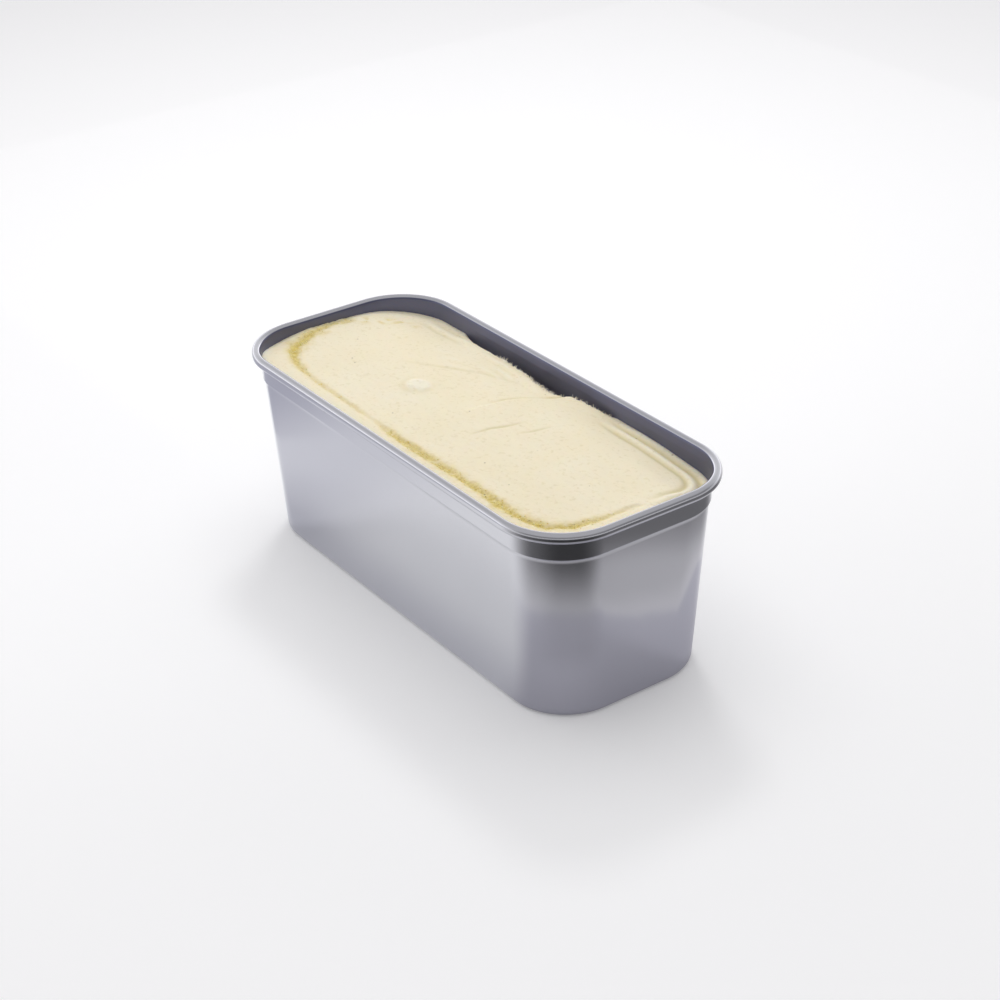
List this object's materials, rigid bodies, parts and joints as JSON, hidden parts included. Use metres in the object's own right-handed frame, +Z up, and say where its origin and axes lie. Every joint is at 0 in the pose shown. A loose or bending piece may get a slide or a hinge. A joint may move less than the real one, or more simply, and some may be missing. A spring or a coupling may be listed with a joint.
{
  "type": "ice cream tub",
  "caption": "Long steel ice cream pan with a rolled rim, stacking collar and leaning walls, filled nearly to the rim with smoothed vanilla ice cream.",
  "frame": {"origin": "centre of the pan's foot, on the surface it stands on", "axes": "+Z up out of the pan, +X along its length, +Y towards the long side where the ice cream is lower"},
  "size_m": [0.36, 0.155, 0.136],
  "materials": {
    "steel": "satin",
    "ice_cream": "soft matt"
  },
  "bodies": {
    "root": {"pan": "steel", "ice_cream": "ice_cream"}
  },
  "joints": []
}
